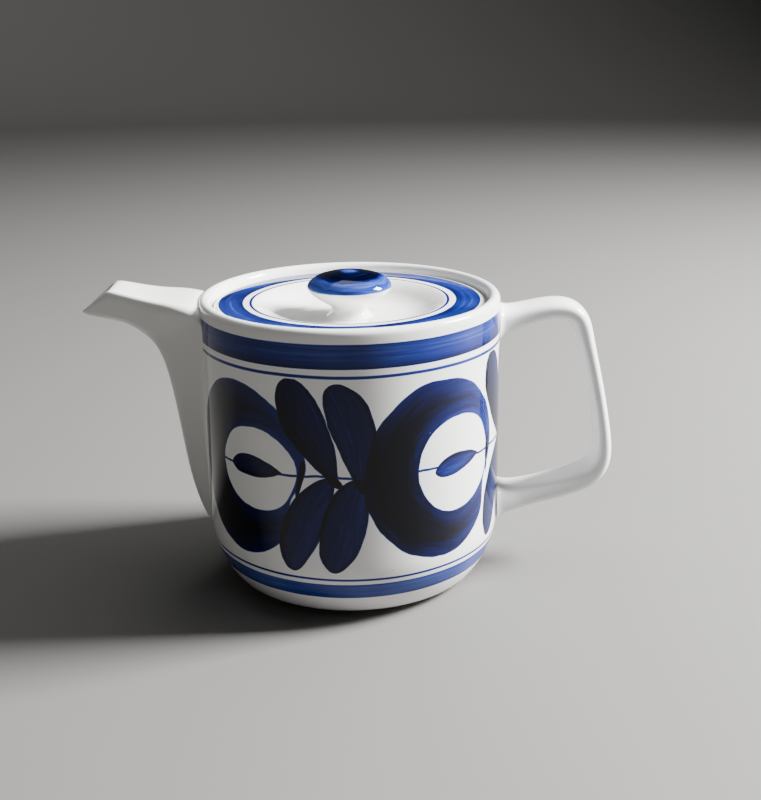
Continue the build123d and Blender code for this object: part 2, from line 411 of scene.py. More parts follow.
@dataclass(frozen=True)
class Frieze:
    """Flower rings with a leaf inside, and four petals between them, repeated each half turn.

    Lengths along the wall are millimetres at its outside, counted from the front.
    """

    wall_radius: float = 60.0
    half_turn_start: float = -84.0
    ring_places: Pair = (-41.0, 42.5)
    petal_places: Pair = (-6.0, 84.0)
    ring_split: float = -5.0
    petal_split: float = 40.0
    ring_height: float = 60.6
    petal_height: float = 58.6
    stem_height: float = 61.4
    stem_half_width: float = 0.45
    stem_load: float = 0.62
    stem_soft: float = 0.35
    overlap_depth: float = 0.22
    rise_and_fall: float = 3.0
    side_to_side: float = 2.6
    shake: float = 0.5
    left_ring: BrushRing = BrushRing((-7.0, -0.3), (30.6, 34.3), (1.1, 0.9), (17.9, 16.8))
    right_ring: BrushRing = BrushRing((-7.0, -0.4), (32.0, 35.6), (0.9, 0.5), (19.1, 18.9))
    left_leaf: BrushStroke = BrushStroke((13.5, 1.2), (-11.5, 0.9), 4.5, 0.62, 0.60, -0.9, 0.80, 0.06)
    right_leaf: BrushStroke = BrushStroke((12.5, 1.2), (-10.7, -1.4), 4.4, 0.60, 0.62, -0.9, 0.66, -0.12)
    tail: BrushStroke = BrushStroke((19.6, -11.4), (21.9, 7.4), 1.5, 0.7, 0.6, 0.3, 0.95, 0.0)
    petals: tuple[BrushStroke, ...] = (
        BrushStroke((0.2, -0.8), (-19.0, 40.0), 8.6, 0.66, 0.5, 0.5, 0.84, 0.16),
        BrushStroke((9.2, -3.6), (-0.4, 39.5), 8.3, 0.64, 0.5, -2.8, 0.76, -0.05),
        BrushStroke((-2.0, 2.4), (-19.9, -35.6), 7.8, 0.55, 0.5, -2.7, 0.74, -0.12),
        BrushStroke((8.5, 2.6), (-3.1, -35.8), 8.6, 0.52, 0.5, -0.9, 0.74, -0.10),
    )
    knot: BrushStroke = BrushStroke((2.8, -1.8), (-3.8, 3.2), 1.9, 0.6, 0.6, 0.0, 1.0, 0.0)

    def lay(self, surface: Surface) -> Signal:
        """Paint laid by the whole frieze.

        Args:
            surface: Where the point is.

        Returns:
            How thick the paint is, from 0 to 1.
        """
        sheet = surface.sheet
        trembled = sheet.sway(surface.place, 260.0, 1.0) * self.shake
        height = surface.height + sheet.sway(surface.place, 48.0, 1.0) * self.rise_and_fall + trembled
        round_wall = (surface.turn + pi / 2) * self.wall_radius
        half_turn = pi * self.wall_radius
        unrolled = sheet.maths("WRAP", round_wall, self.half_turn_start + half_turn, self.half_turn_start)
        shaken = unrolled + sheet.sway(surface.place, 61.0, 1.0) * self.side_to_side + trembled

        second_ring = unrolled > self.ring_split
        ring_gap = self.ring_places[1] - self.ring_places[0]
        from_ring = shaken - self.ring_places[0] - second_ring * ring_gap
        up_ring = height - self.ring_height
        left = self.left_ring.lay(sheet, from_ring, up_ring)
        left = left.most(self.left_leaf.lay(sheet, from_ring, up_ring, 23.0))
        right = self.right_ring.lay(sheet, from_ring, up_ring)
        right = right.most(self.right_leaf.lay(sheet, from_ring, up_ring, 21.0))
        paint = left * (1 - second_ring) + right * second_ring
        paint = paint.most(self.tail.lay(sheet, from_ring, up_ring, 27.0))

        second_petals = unrolled > self.petal_split
        petal_gap = self.petal_places[1] - self.petal_places[0]
        from_petals = shaken - self.petal_places[0] - second_petals * petal_gap
        up_petals = height - self.petal_height
        for number, stroke in enumerate((*self.petals, self.knot)):
            laid = stroke.lay(sheet, from_petals, up_petals, 31.0 + 4 * number)
            paint = self._over(paint, laid)

        stem = self.stem_half_width - abs(height - self.stem_height)
        return paint.most(stem.above(0.0, self.stem_soft) * self.stem_load)

    def _over(self, under: Signal, laid: Signal) -> Signal:
        """A stroke laid over paint that is already there: the two together are a little darker."""
        return (under.most(laid) + under * laid * self.overlap_depth).held()


@dataclass(frozen=True)
class BandedLine:
    """A band or line brushed on the wheel: streaked along its length, with one edge heavier."""

    low: float
    high: float
    load: float
    streaks: float = 0.45
    heavy_low: float = 0.0
    soft: float = 0.45
    waver: float = 0.7
    streak_run: float = 0.55
    streak_rows: float = 3.2
    least_width: float = 3.0
    patchiness: float = 0.7
    heavy_share: float = 0.22
    heavy_soft_share: float = 0.5
    rim_inset: float = 0.5
    rim_soft: float = 0.9
    rim_depth: float = 0.10

    def lay(self, surface: Surface, across: Signal, seed: float) -> Signal:
        """Paint laid by the band.

        Args:
            surface: Where the point is.
            across: The coordinate that the band's edges are stated in, in millimetres.
            seed: Where in the noise its streaks are read.

        Returns:
            How thick the paint is, from 0 to 1.
        """
        sheet = surface.sheet
        way = surface.way(seed)
        place = across + sheet.sway(way, 1.6) * self.waver
        width = self.high - self.low
        row_pitch = self.streak_rows / max(width, self.least_width)
        brushed = sheet.vector(surface.turn * self.streak_run, place * row_pitch, seed)
        streaks = sheet.sway(brushed, 2.0, 4.0, 0.7) * self.streaks
        patches = sheet.sway(way, 2.3) * (self.streaks * self.patchiness)
        heavy_edge = self.low + width * self.heavy_share
        heavy = (1 - place.above(heavy_edge, width * self.heavy_soft_share)) * self.heavy_low
        middle = place.between(self.low + self.rim_inset, self.high - self.rim_inset, self.rim_soft)
        rim = (1 - middle) * self.rim_depth
        thickness = self.load + streaks + patches + heavy + rim
        return place.between(self.low, self.high, self.soft) * thickness.held()


@dataclass(frozen=True)
class PotPainting:
    """The pot's painting: the frieze between a broad band and a fine line above and below.

    Heights and radii are millimetres. The wall that the spout covers, with its strainer holes, stays bare.
    """

    frieze: Frieze = Frieze()
    frieze_from: float = 21.5
    frieze_to: float = 99.0
    frieze_soft: float = 0.5
    bands: tuple[BandedLine, ...] = (
        BandedLine(103.1, 112.2, 0.54, 0.42, 0.20),
        BandedLine(99.6, 100.7, 0.52, 0.25, 0.0, 0.5),
        BandedLine(19.4, 20.3, 0.52, 0.25, 0.0, 0.5),
        BandedLine(11.1, 17.7, 0.44, 0.36, 0.08),
    )
    least_radius: float = 56.4
    spout_foot: float = 40.0
    spout_spread: float = 0.36
    spout_reach: float = 16.0

    def lay(self, surface: Surface) -> Signal:
        """Paint on the pot.

        Args:
            surface: Where the point is.

        Returns:
            How thick the paint is, from 0 to 1.
        """
        outside = surface.radius.above(self.least_radius, 0.1) * (1 - self._behind_spout(surface))
        between_lines = surface.height.between(self.frieze_from, self.frieze_to, self.frieze_soft)
        paint = self.frieze.lay(surface) * between_lines
        for number, band in enumerate(self.bands):
            paint = paint.most(band.lay(surface, surface.height, 3.0 + 5 * number))
        return paint * outside

    def _behind_spout(self, surface: Surface) -> Signal:
        """Tells the stretch of wall that the spout covers.

        Args:
            surface: Where the point is.

        Returns:
            1 behind the spout, otherwise 0.
        """
        aside = (pi - abs(surface.turn)) * self.frieze.wall_radius
        reach = ((surface.height - self.spout_foot) * self.spout_spread).least(self.spout_reach)
        return (reach - aside).above(0.0, 0.4)


@dataclass(frozen=True)
class LidPainting:
    """The lid's painting: a broad ring on the border and a fine circle inside it, on top only."""

    ring: BandedLine = BandedLine(42.5, 52.1, 0.58, 0.60, 0.12)
    circle: BandedLine = BandedLine(38.9, 39.9, 0.62, 0.25, 0.0, 0.45)
    least_height: float = 111.6

    def lay(self, surface: Surface) -> Signal:
        """Paint on the lid.

        Args:
            surface: Where the point is.

        Returns:
            How thick the paint is, from 0 to 1.
        """
        on_top = surface.height.above(self.least_height, 0.2)
        ring = self.ring.lay(surface, surface.radius, 4.0)
        return ring.most(self.circle.lay(surface, surface.radius, 9.0)) * on_top


@dataclass(frozen=True)
class KnobPainting:
    """The knob's painting: one swirl over the cap, nearly black between its middle and its edge."""

    load: float = 0.46
    heavy: float = 0.50
    heavy_from: float = 3.4
    heavy_to: float = 12.6
    heavy_soft: float = 3.2
    swirl_pitch: float = 0.75
    swirl_depth: float = 0.7
    waver: float = 2.2
    edge_height: float = 119.7
    edge_waver: float = 0.25

    def lay(self, surface: Surface) -> Signal:
        """Paint on the knob.

        Args:
            surface: Where the point is.

        Returns:
            How thick the paint is, from 0 to 1.
        """
        sheet = surface.sheet
        waver = sheet.sway(surface.way(2.0), 1.9) * self.waver
        radius = surface.radius + waver
        swirled = sheet.vector(radius * self.swirl_pitch, surface.turn * 0.5, 1.0)
        swirl = sheet.sway(swirled, 1.0, 4.0, 0.7) * self.swirl_depth
        heavy = radius.between(self.heavy_from, self.heavy_to, self.heavy_soft) * self.heavy
        cap = (surface.height + waver * self.edge_waver).above(self.edge_height, 0.5)
        return cap * (self.load + heavy + swirl).held()


@dataclass(frozen=True)
class Porcelain:
    """White porcelain under a gloss glaze, with cobalt painting between the two."""

    white: Colour = (0.80, 0.805, 0.80, 1.0)
    warmth: Colour = (1.0, 0.985, 0.95, 1.0)
    bare: Colour = (0.62, 0.58, 0.52, 1.0)
    bare_below: float = 0.9
    speck: Colour = (0.16, 0.13, 0.10, 1.0)
    speck_grain: float = 70.0
    speck_rarity: float = 0.93
    speck_size: float = 0.022
    speck_depth: float = 0.55
    body_roughness: float = 0.22
    bare_roughness: float = 0.75
    glaze_roughness: float = 0.035
    glaze_index: float = 1.34
    ripple_height: float = 0.00012
    ripple_strength: float = 0.30
    fine_ripple: float = 0.12
    cobalt: tuple[tuple[float, Colour], ...] = (
        (0.16, (0.34, 0.42, 0.70, 1.0)),
        (0.36, (0.050, 0.085, 0.320, 1.0)),
        (0.55, (0.0080, 0.0190, 0.150, 1.0)),
        (0.72, (0.0016, 0.0046, 0.056, 1.0)),
        (0.88, (0.0006, 0.0015, 0.018, 1.0)),
        (1.0, (0.0004, 0.0006, 0.003, 1.0)),
    )

    def fire(
        self, name: str, painting: Callable[[Surface], Signal] | None, foot: bool
    ) -> bpy.types.Material:
        """Makes the fired finish.

        Args:
            name: The material's name.
            painting: Gives the paint's thickness at a point, or None for plain white.
            foot: Whether the piece stands on a ring wiped bare of glaze.

        Returns:
            The material.
        """
        sheet = NodeSheet(name)
        surface = Surface(sheet)
        warm = tuple(part * share for part, share in zip(self.white, self.warmth))
        colour = sheet.mix(sheet.noise(surface.place, 26.0), self.white, warm)
        if painting:
            thickness = painting(surface)
            cobalt = sheet.ramp(thickness, ((0.0, self.white), *self.cobalt))
            colour = sheet.mix(thickness.above(0.05, 0.10), colour, cobalt)
        colour = sheet.mix(self._specks(surface), colour, self.speck)
        shader = {
            "Specular IOR Level": 0.0,
            "Coat Roughness": self.glaze_roughness,
            "Coat IOR": self.glaze_index,
            "Roughness": self.body_roughness,
            "Coat Weight": 1.0,
        }
        if foot:
            bare = 1 - surface.height.above(self.bare_below, 0.4)
            colour = sheet.mix(bare, colour, self.bare)
            shader["Roughness"] = bare * (self.bare_roughness - self.body_roughness) + self.body_roughness
            shader["Coat Weight"] = 1 - bare
        shader["Base Color"] = colour
        fine = sheet.noise(surface.place, 150.0) * self.fine_ripple
        ripple = sheet.noise(surface.place, 34.0, 1.0) + fine
        bump = {"Strength": self.ripple_strength, "Distance": self.ripple_height, "Height": ripple}
        shader["Normal"] = sheet.signal("ShaderNodeBump", {}, bump, "Normal")
        principled = sheet.signal("ShaderNodeBsdfPrincipled", {}, shader, "BSDF")
        sheet.node("ShaderNodeOutputMaterial", {}, {"Surface": principled})
        return sheet.material

    def _specks(self, surface: Surface) -> Signal:
        """Sparse pin-head specks in the glaze.

        Args:
            surface: Where the point is.

        Returns:
            1 on a speck, otherwise 0.
        """
        sheet = surface.sheet
        cells = sheet.node("ShaderNodeTexVoronoi", {}, {"Vector": surface.place, "Scale": self.speck_grain})
        distance = Signal(sheet, cells.outputs["Distance"])
        shade = sheet.node("ShaderNodeSeparateColor", {}, {"Color": Signal(sheet, cells.outputs["Color"])})
        chosen = Signal(sheet, shade.outputs["Red"]) > self.speck_rarity
        return (1 - distance.above(self.speck_size, 0.012)) * chosen * self.speck_depth


# ---------------------------------------------------------------------------------------------------
# Shaping
# ---------------------------------------------------------------------------------------------------


class Outline:
    """A profile of radius and height in millimetres, drawn run by run."""

    def __init__(self, radius: float, height: float) -> None:
        """Starts at a point."""
        self.points: list[Pair] = [(radius, height)]

    def run(self, radius: float, height: float, cuts: int = 0) -> "Outline":
        """Goes straight to a point.

        Args:
            radius: The end's radius.
            height: The end's height.
            cuts: Points spaced evenly on the way.

        Returns:
            This outline.
        """
        start = self.points[-1]
        for step in range(1, cuts + 2):
            share = step / (cuts + 1)
            self.points.append(
                (start[0] + (radius - start[0]) * share, start[1] + (height - start[1]) * share)
            )
        return self

    def turn(self, radius: float, height: float, angle: float, cuts: int = 3) -> "Outline":
        """Goes to a point along an arc.

        Args:
            radius: The end's radius.
            height: The end's height.
            angle: Degrees the arc turns, positive to the left.
            cuts: Points spaced evenly on the way.

        Returns:
            This outline.
        """
        start, end = Vector(self.points[-1]), Vector((radius, height))
        chord = end - start
        half = radians(angle) / 2
        to_centre = Vector((-chord.y, chord.x)).normalized() * (chord.length / 2 / sin(half) * cos(half))
        centre = (start + end) / 2 + to_centre
        arm = start - centre
        for step in range(1, cuts + 2):
            swing = 2 * half * step / (cuts + 1)
            turned = Matrix.Rotation(swing, 2) @ arm
            self.points.append(tuple(centre + turned))
        return self


def spin_outline(outline: Outline, steps: int) -> bmesh.types.BMesh:
    """Spins a profile once round the pot's axis.

    Args:
        outline: The profile, with both ends on the axis.
        steps: Faces to a full turn.

    Returns:
        The closed mesh, with its faces outwards.
    """
    bm = bmesh.new()
    profile = [bm.verts.new((radius * MM, 0, height * MM)) for radius, height in outline.points]
    edges = [bm.edges.new(pair) for pair in zip(profile, profile[1:])]
    bmesh.ops.spin(
        bm, geom=profile + edges, cent=(0, 0, 0), axis=(0, 0, 1), dvec=(0, 0, 0), angle=tau,
        steps=steps, use_merge=True, use_normal_flip=False, use_duplicate=False,
    )
    bmesh.ops.remove_doubles(bm, verts=bm.verts, dist=1e-6)
    bmesh.ops.recalc_face_normals(bm, faces=bm.faces)
    return bm


def finish_piece(name: str, bm: bmesh.types.BMesh, levels: int, thickness: float = 0.0) -> bpy.types.Object:
    """Turns a mesh into a smooth piece at the origin.

    Args:
        name: The piece's name.
        bm: Its mesh, which is freed.
        levels: Subdivision levels.
        thickness: Wall to add inwards, in millimetres, or 0 for a mesh that is closed already.

    Returns:
        The piece.
    """
    for face in bm.faces:
        face.smooth = True
    mesh = bpy.data.meshes.new(name)
    bm.to_mesh(mesh)
    bm.free()
    piece = bpy.data.objects.new(name, mesh)
    bpy.context.scene.collection.objects.link(piece)
    if thickness:
        wall = piece.modifiers.new("wall", "SOLIDIFY")
        wall.thickness = thickness * MM
        wall.offset = -1.0
    smooth = piece.modifiers.new("smooth", "SUBSURF")
    smooth.levels = smooth.render_levels = levels
    return piece


def bridge_chains(
    bm: bmesh.types.BMesh, chains: Sequence[Sequence[bmesh.types.BMVert]], closed: bool
) -> None:
    """Skins a row of vertex chains with faces.

    Args:
        bm: The mesh they are in.
        chains: The chains, all of one length.
        closed: Whether each chain is a loop.
    """
    def edges_of(chain: Sequence[bmesh.types.BMVert]) -> list[bmesh.types.BMEdge]:
        """The chain's edges, made where they don't exist yet."""
        after = [*chain[1:], chain[0]] if closed else chain[1:]
        return [bm.edges.get(pair) or bm.edges.new(pair) for pair in zip(chain, after)]

    for first, second in zip(chains, chains[1:]):
        bmesh.ops.bridge_loops(bm, edges=edges_of(first) + edges_of(second))


# ---------------------------------------------------------------------------------------------------
# The pieces
# ---------------------------------------------------------------------------------------------------


@dataclass
class Pot:
    """The cast pot: foot ring, curved base, straight wall, rolled rim and sunk seat for the lid.

    Sizes are millimetres. Strainer holes sit behind the spout in staggered rows, a set number of the
    wall's steps apart.
    """

    radius: float = 60.0
    height: float = 117.5
    wall: float = 4.0
    base_radius: float = 36.0
    base_top: float = 26.0
    rim_round: float = 2.45
    foot_inner: float = 41.5
    foot_outer: float = 46.5
    foot_recess: float = 2.5
    seat_radius: float = 54.9
    seat_height: float = 110.4
    mouth_radius: float = 48.0
    shelf_underside: float = 106.3
    shelf_root: float = 101.0
    floor_top: float = 7.5
    floor_round: float = 18.0
    wall_steps: int = 128
    strainer_lowest: float = 54.5
    strainer_row_pitch: float = 9.0
    strainer_rows: tuple[int, ...] = (1, 2, 1, 2, 3)
    strainer_steps_apart: int = 4
    strainer_radius: float = 2.2
    cell_height: float = 3.0

    def outside_radius(self, height: float) -> float:
        """Works out the outside's radius at a height.

        Args:
            height: Millimetres above the foot.

        Returns:
            The radius in millimetres.
        """
        if height < self.base_top:
            drop = self.base_top - height
            return self.radius - self.base_radius + sqrt(self.base_radius**2 - drop**2)
        roll = height - (self.height - self.rim_round)
        if roll > 0:
            return self.radius - self.rim_round + sqrt(max(self.rim_round**2 - roll**2, 0.0))
        return self.radius

    def outline(self) -> Outline:
        """Draws the pot's profile.

        Returns:
            The profile, from the middle of the underside round to the middle of the floor inside.
        """
        inner = self.radius - self.wall
        rows_low = self.strainer_lowest - 2 * self.cell_height
        row_count = round((len(self.strainer_rows) - 1) * self.strainer_row_pitch / self.cell_height) + 4
        rows_high = rows_low + row_count * self.cell_height
        rim_low = self.height - self.rim_round
        inside, outside = self.foot_inner, self.foot_outer
        seat, mouth = self.seat_radius, self.mouth_radius
        outline = Outline(0, self.foot_recess + 0.1).run(inside - 1.9, self.foot_recess, 3)
        outline.turn(inside - 0.8, 1.9, -30, 1).run(inside - 0.1, 0.5).turn(inside + 0.6, 0.0, 60, 1)
        outline.run(outside - 1.2, 0.0).turn(outside - 0.1, 0.9, 70, 1).turn(outside + 1.5, 1.9, -40, 1)
        outline.turn(outside + 4.9, 2.7, 18, 1).turn(self.radius, self.base_top, 38, 9)
        outline.run(self.radius, rows_low, 3).run(self.radius, rows_high, row_count - 1)
        outline.run(self.radius, rim_low, 4).turn(self.radius - self.rim_round, self.height, 90, 4)
        outline.turn(seat + 0.1, self.height - 3.2, 90, 4).run(seat, self.seat_height + 0.6, 1)
        outline.turn(seat - 0.5, self.seat_height, -90, 1).run(mouth + 1.0, self.seat_height, 1)
        outline.turn(mouth, self.seat_height - 0.9, 90, 1).run(mouth, self.shelf_underside + 1.7)
        outline.turn(mouth + 1.0, self.shelf_underside, 30, 1).run(seat - 0.3, self.shelf_root, 1)
        outline.turn(inner, rows_high, -24, 1).run(inner, rows_low, row_count - 1)
        outline.run(inner, self.floor_top + self.floor_round, 4)
        outline.turn(inner - self.floor_round, self.floor_top, -90, 6).run(0, self.floor_top, 3)
        return outline

    def pierce_strainer(self, bm: bmesh.types.BMesh) -> None:
        """Opens the strainer holes in the wall behind the spout.

        Args:
            bm: The spun pot.
        """
        step = tau / self.wall_steps
        for row, count in enumerate(self.strainer_rows):
            height = self.strainer_lowest + row * self.strainer_row_pitch
            for place in range(count):
                turn = pi + (place - (count - 1) / 2) * self.strainer_steps_apart * step
                outer = self._open_cell(bm, turn, height, self.radius)
                inner = self._open_cell(bm, turn, height, self.radius - self.wall)
                bmesh.ops.bridge_loops(bm, edges=outer + inner)

    def _open_cell(
        self, bm: bmesh.types.BMesh, turn: float, height: float, radius: float
    ) -> list[bmesh.types.BMEdge]:
        """Removes the four faces round a point of one wall and rounds the gap.

        Args:
            bm: The spun pot.
            turn: The hole's direction round the axis, in radians.
            height: The hole's height in millimetres.
            radius: The wall's radius in millimetres.

        Returns:
            The edges of the round gap.
        """
        spot = Vector((cos(turn) * radius, sin(turn) * radius, height)) * MM
        middle = min(bm.verts, key=lambda v: (v.co - spot).length_squared)
        border = [e for f in middle.link_faces for e in f.edges if middle not in e.verts]
        for vert in {v for e in border for v in e.verts}:
            around = atan2(vert.co.y, vert.co.x) - turn
            around = (around + pi) % tau - pi
            aside, up = around * radius, vert.co.z / MM - height
            scale = self.strainer_radius / hypot(aside, up)
            way = turn + around * scale
            vert.co = Vector((cos(way) * radius, sin(way) * radius, height + up * scale)) * MM
        bmesh.ops.delete(bm, geom=[middle], context="VERTS")
        return border

    def build(self) -> bpy.types.Object:
        """Makes the pot.

        Returns:
            The piece.
        """
        bm = spin_outline(self.outline(), self.wall_steps)
        self.pierce_strainer(bm)
        bmesh.ops.recalc_face_normals(bm, faces=bm.faces)
        piece = finish_piece("cast_pot", bm, 1)
        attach(piece, "pot")
        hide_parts("pot_body")
        return piece

    def dress(self, piece: bpy.types.Object, porcelain: Porcelain) -> None:
        """Gives the pot its painted glaze."""
        piece.data.materials.append(porcelain.fire("painted pot glaze", PotPainting().lay, True))


@dataclass(frozen=True)
class RootStation:
    """A section of the spout where it still hugs the pot: open towards the wall."""

    keel: Pair
    seam_height: float
    half_width: float


@dataclass(frozen=True)
class BeakStation:
    """A closed section of the spout past the pot's rim."""

    keel: Pair
    roof: Pair
    half_width: float


@dataclass
class Spout:
    """The beaked spout: a fin that grows up the pot's wall and turns out into a pouring lip."""

    pot: Pot
    wall: float = 2.6
    shoulder_share: float = 0.86
    seam_lift: float = 0.05
    seam_dive: float = 0.5
    seam_skirt: float = 1.3
    skirt_lift: float = 0.3
    roof_height: float = 116.8
    roof_climb: float = 4.5
    roof_gather: float = 1.25
    flank_cuts: int = 8
    roof_cuts: int = 5
    roots: tuple[RootStation, ...] = (
        RootStation((-59.4, 18.0), 18.8, 1.6),
        RootStation((-62.3, 22.4), 24.8, 4.6),
        RootStation((-64.9, 29.0), 33.0, 8.0),
        RootStation((-67.9, 40.5), 46.0, 11.8),
        RootStation((-69.8, 53.5), 60.0, 14.4),
        RootStation((-71.4, 67.0), 75.0, 16.3),
        RootStation((-73.4, 80.5), 90.0, 17.7),
        RootStation((-75.6, 91.2), 102.6, 18.3),
        RootStation((-78.9, 98.2), 111.8, 18.0),
    )
    beaks: tuple[BeakStation, ...] = (
        BeakStation((-82.7, 102.3), (-67.0, 117.9), 15.9),
        BeakStation((-86.4, 105.2), (-72.5, 118.4), 14.0),
        BeakStation((-90.8, 107.4), (-79.0, 119.4), 12.4),
        BeakStation((-97.6, 108.8), (-86.5, 121.2), 11.0),
        BeakStation((-107.0, 110.7), (-93.8, 123.0), 9.9),
    )

    def seam_point(self, aside: float, height: float, sink: float = 0.0) -> Vector:
        """A point on the pot's wall under the spout.

        Args:
            aside: Millimetres round the wall from the spout's middle plane.
            height: Millimetres above the foot.
            sink: Millimetres below the wall's surface.

        Returns:
            The point, in millimetres.
        """
        radius = self.pot.outside_radius(height) + self.seam_lift - sink
        turn = pi - aside / self.pot.radius
        return Vector((cos(turn) * radius, sin(turn) * radius, height))

    def root_flank(self, station: RootStation) -> list[Vector]:
        """Draws one side of an open section.

        Args:
            station: The section.

        Returns:
            Points from the keel to just past the seam with the pot, in millimetres.
        """
        keel = Vector((station.keel[0], 0, station.keel[1]))
        seam = self.seam_point(station.half_width, station.seam_height)
        skirt_place = station.half_width + self.seam_skirt, station.seam_height + self.skirt_lift
        past = self.seam_point(*skirt_place)
        outwards = (past - seam).normalized()
        rounding = min(0.36 * station.half_width, 5.2)
        flare = min(0.34 * station.half_width, 5.0)
        curve = interpolate_bezier(
            keel, keel + Vector((0, rounding, 0)), seam - outwards * flare, seam, self.flank_cuts + 1
        )
        return [*curve, self.seam_point(*skirt_place, self.seam_dive)]

    def beak_flank(self, station: BeakStation) -> list[Vector]:
        """Draws one side of a closed section.

        Args:
            station: The section.

        Returns:
            Points from the keel to the widest point, in millimetres.
        """
        keel, roof = (Vector((x, 0, z)) for x, z in (station.keel, station.roof))
        widest = keel.lerp(roof, self.shoulder_share) + Vector((0, station.half_width, 0))
        rounding = 0.42 * station.half_width
        up = (roof - keel) * 0.34
        return interpolate_bezier(
            keel, keel + Vector((0, rounding, 0)), widest - up, widest, self.flank_cuts + 2
        )

    def beak_roof(self, station: BeakStation) -> list[Vector]:
        """Draws one side of a closed section's roof.

        Args:
            station: The section.

        Returns:
            Points from the widest point to the middle, in millimetres.
        """
        keel, roof = (Vector((x, 0, z)) for x, z in (station.keel, station.roof))
        widest = keel.lerp(roof, self.shoulder_share) + Vector((0, station.half_width, 0))
        shoulder = widest + (roof - keel) * (1 - self.shoulder_share)
        inwards = roof + Vector((0, 0.92 * station.half_width, 0))
        return interpolate_bezier(widest, shoulder, inwards, roof, self.roof_cuts + 1)

    def rim_roof(self, station: RootStation) -> list[Vector]:
        """Draws one side of the line where the roof meets the pot's rim.

        Args:
            station: The last open section.

        Returns:
            Points from the corner to the middle, in millimetres.
        """
        corner = self.root_flank(station)[-1]
        aside, start = station.half_width + self.seam_skirt, station.seam_height + self.skirt_lift
        points = [corner]
        for step in range(1, self.roof_cuts + 1):
            share = step / self.roof_cuts
            climb = 1 - (1 - share) ** self.roof_climb
            height = start + (self.roof_height - start) * climb
            place = aside * (1 - share**self.roof_gather)
            points.append(self.seam_point(place, height, self.seam_dive * (1 - share)))
        return points

    def whole_chain(self, bm: bmesh.types.BMesh, half: Sequence[Vector]) -> list[bmesh.types.BMVert]:
        """Mirrors a half section and adds it to the mesh.

        Args:
            bm: The mesh to add to.
            half: Points from the middle plane outwards, in millimetres.

        Returns:
            The vertices from the -Y end to the +Y end.
        """
        mirrored = [Vector((p.x, -p.y, p.z)) for p in reversed(half[1:])]
        return [bm.verts.new(p * MM) for p in (*mirrored, *half)]

    def build(self) -> bpy.types.Object:
        """Makes the spout.

        Returns:
            The piece.
        """
        bm = bmesh.new()
        flanks = [self.whole_chain(bm, self.root_flank(s)) for s in self.roots]
        flanks += [self.whole_chain(bm, self.beak_flank(s)) for s in self.beaks]
        bridge_chains(bm, flanks, closed=False)
        halves = [self.rim_roof(self.roots[-1])] + [self.beak_roof(s) for s in self.beaks]
        roofs = []
        for half, flank in zip(halves, flanks[len(self.roots) - 1 :]):
            inner = [bm.verts.new(p * MM) for p in half[1:]]
            mirrored = [bm.verts.new(Vector((p.x, -p.y, p.z)) * MM) for p in reversed(half[1:-1])]
            roofs.append([flank[-1], *inner, *mirrored, flank[0]])
        bridge_chains(bm, roofs, closed=False)
        bmesh.ops.recalc_face_normals(bm, faces=bm.faces)
        keel_face = min(bm.faces, key=lambda f: f.calc_center_median().x)
        if keel_face.normal.z > 0:
            bmesh.ops.reverse_faces(bm, faces=bm.faces)
        piece = finish_piece("beaked_spout", bm, 2, self.wall)
        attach(piece, "pot")
        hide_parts("spout")
        return piece

    def dress(self, piece: bpy.types.Object, finish: bpy.types.Material) -> None:
        """Gives the spout its plain glaze."""
        piece.data.materials.append(finish)


